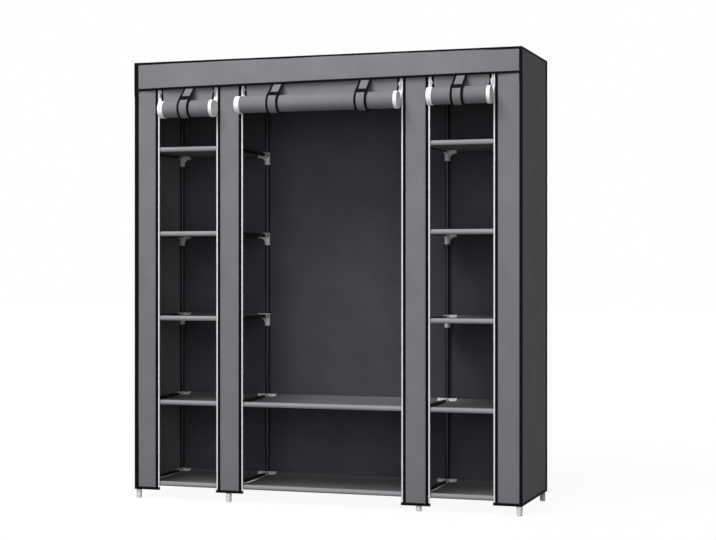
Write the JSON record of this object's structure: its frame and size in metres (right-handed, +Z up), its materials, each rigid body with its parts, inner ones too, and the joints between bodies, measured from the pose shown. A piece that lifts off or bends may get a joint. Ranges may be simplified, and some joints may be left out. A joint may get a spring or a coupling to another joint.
{
  "type": "portable fabric wardrobe",
  "caption": "Knock-down steel tube wardrobe frame with cloth shelves, a hanging rod and a sewn cloth cover with roll-up zip doors tied above the openings.",
  "frame": {"origin": "on the floor under the middle of the wardrobe's box, rolled doors included", "axes": "+X to the right as seen from the front, +Y from the doors to the back, +Z up"},
  "size_m": [1.5, 0.4964, 1.652],
  "materials": {
    "steel_tube": "black powder-coated steel tube, with light grey moulded plastic sockets on the ladders",
    "shelf_cloth": "grey non-woven cloth, heat-embossed with fine dots",
    "cover_cloth": "grey non-woven cloth, heat-embossed with fine dots, edges bound in black tape",
    "zip_tape": "white woven zip tape with a nylon coil",
    "zip_metal": "nickel-plated zip slider"
  },
  "bodies": {
    "root": {"frame_left_outer": "steel_tube", "frame_left_inner": "steel_tube", "frame_right_inner": "steel_tube", "frame_right_outer": "steel_tube", "shelf_left_0": "shelf_cloth", "shelf_left_1": "shelf_cloth", "shelf_left_2": "shelf_cloth", "shelf_left_3": "shelf_cloth", "shelf_left_4": "shelf_cloth", "rail_top_left_front": "steel_tube", "rail_top_left_back": "steel_tube", "shelf_center_0": "shelf_cloth", "shelf_center_1": "shelf_cloth", "rail_top_center_front": "steel_tube", "rail_top_center_back": "steel_tube", "shelf_right_0": "shelf_cloth", "shelf_right_1": "shelf_cloth", "shelf_right_2": "shelf_cloth", "shelf_right_3": "shelf_cloth", "shelf_right_4": "shelf_cloth", "rail_top_right_front": "steel_tube", "rail_top_right_back": "steel_tube", "hanging_rod": "steel_tube", "cover_top": "cover_cloth", "cover_back": "cover_cloth", "cover_left_side": "cover_cloth", "cover_right_side": "cover_cloth", "cover_pillar_left_outer": "cover_cloth", "cover_pillar_left_inner": "cover_cloth", "cover_pillar_right_inner": "cover_cloth", "cover_pillar_right_outer": "cover_cloth", "valance": "cover_cloth", "door_left_flap": "cover_cloth", "strap_left": "cover_cloth", "zip_left_a_tape": "zip_tape", "zip_left_b_tape": "zip_tape", "door_center_flap": "cover_cloth", "strap_center_1": "cover_cloth", "strap_center_2": "cover_cloth", "zip_center_a_tape": "zip_tape", "zip_center_b_tape": "zip_tape", "door_right_flap": "cover_cloth", "strap_right": "cover_cloth", "zip_right_a_tape": "zip_tape", "zip_right_b_tape": "zip_tape"},
    "door_left": {"door_left_roll": "cover_cloth"},
    "slider_left_a": {"zip_left_a_slider": "zip_metal"},
    "pull_left_a": {"zip_left_a_pull": "zip_metal"},
    "slider_left_b": {"zip_left_b_slider": "zip_metal"},
    "pull_left_b": {"zip_left_b_pull": "zip_metal"},
    "door_center": {"door_center_roll": "cover_cloth"},
    "slider_center_a": {"zip_center_a_slider": "zip_metal"},
    "pull_center_a": {"zip_center_a_pull": "zip_metal"},
    "slider_center_b": {"zip_center_b_slider": "zip_metal"},
    "pull_center_b": {"zip_center_b_pull": "zip_metal"},
    "door_right": {"door_right_roll": "cover_cloth"},
    "slider_right_a": {"zip_right_a_slider": "zip_metal"},
    "pull_right_a": {"zip_right_a_pull": "zip_metal"},
    "slider_right_b": {"zip_right_b_slider": "zip_metal"},
    "pull_right_b": {"zip_right_b_pull": "zip_metal"}
  },
  "joints": [
    {"name": "door_left_drop", "type": "slide", "parent": "root", "child": "door_left", "axis": [0, 0, -1], "range_m": [0, 1.428], "deforming": ["door_left_flap", "strap_left"]},
    {"name": "zip_left_a_slide", "type": "slide", "parent": "root", "child": "slider_left_a", "axis": [0, 0, -1], "range_m": [0, 1.47]},
    {"name": "zip_left_a_pull_swing", "type": "hinge", "parent": "slider_left_a", "child": "pull_left_a", "pos_m": [-0.6426, -0.1746, 1.537], "axis": [-1, 0, 0], "range_deg": [0, 110]},
    {"name": "zip_left_b_slide", "type": "slide", "parent": "root", "child": "slider_left_b", "axis": [0, 0, -1], "range_m": [0, 1.47]},
    {"name": "zip_left_b_pull_swing", "type": "hinge", "parent": "slider_left_b", "child": "pull_left_b", "pos_m": [-0.4184, -0.1746, 1.537], "axis": [-1, 0, 0], "range_deg": [0, 110]},
    {"name": "door_center_drop", "type": "slide", "parent": "root", "child": "door_center", "axis": [0, 0, -1], "range_m": [0, 1.4365], "deforming": ["door_center_flap", "strap_center_1", "strap_center_2"]},
    {"name": "zip_center_a_slide", "type": "slide", "parent": "root", "child": "slider_center_a", "axis": [0, 0, -1], "range_m": [0, 1.47]},
    {"name": "zip_center_a_pull_swing", "type": "hinge", "parent": "slider_center_a", "child": "pull_center_a", "pos_m": [-0.3031, -0.1746, 1.537], "axis": [-1, 0, 0], "range_deg": [0, 110]},
    {"name": "zip_center_b_slide", "type": "slide", "parent": "root", "child": "slider_center_b", "axis": [0, 0, -1], "range_m": [0, 1.47]},
    {"name": "zip_center_b_pull_swing", "type": "hinge", "parent": "slider_center_b", "child": "pull_center_b", "pos_m": [0.3031, -0.1746, 1.537], "axis": [-1, 0, 0], "range_deg": [0, 110]},
    {"name": "door_right_drop", "type": "slide", "parent": "root", "child": "door_right", "axis": [0, 0, -1], "range_m": [0, 1.444], "deforming": ["door_right_flap", "strap_right"]},
    {"name": "zip_right_a_slide", "type": "slide", "parent": "root", "child": "slider_right_a", "axis": [0, 0, -1], "range_m": [0, 1.47]},
    {"name": "zip_right_a_pull_swing", "type": "hinge", "parent": "slider_right_a", "child": "pull_right_a", "pos_m": [0.4184, -0.1746, 1.537], "axis": [-1, 0, 0], "range_deg": [0, 110]},
    {"name": "zip_right_b_slide", "type": "slide", "parent": "root", "child": "slider_right_b", "axis": [0, 0, -1], "range_m": [0, 1.47]},
    {"name": "zip_right_b_pull_swing", "type": "hinge", "parent": "slider_right_b", "child": "pull_right_b", "pos_m": [0.6426, -0.1746, 1.537], "axis": [-1, 0, 0], "range_deg": [0, 110]}
  ]
}
